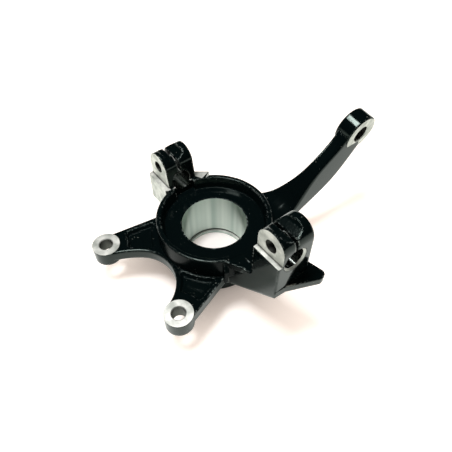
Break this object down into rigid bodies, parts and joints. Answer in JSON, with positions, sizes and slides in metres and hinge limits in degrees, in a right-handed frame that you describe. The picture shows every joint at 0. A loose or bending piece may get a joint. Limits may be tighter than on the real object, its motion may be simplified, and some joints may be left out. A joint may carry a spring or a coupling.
{
  "type": "steering knuckle",
  "caption": "One-piece cast steering knuckle: bearing bore with raised rim, two slotted ball-joint clamps, a tie rod arm and two caliper ears.",
  "frame": {"origin": "on the wheel bearing axis, level with the inboard shoulder face where the bearing seat starts", "axes": "+Z along the bearing axis, pointing inboard; +X towards the tie rod eye; -Y towards the upper ball joint clamp"},
  "size_m": [0.2482, 0.1766, 0.1149],
  "materials": {
    "black_enamel": "gloss black enamel on cast iron, machined faces bare"
  },
  "bodies": {
    "root": {"knuckle": "black_enamel"}
  },
  "joints": []
}
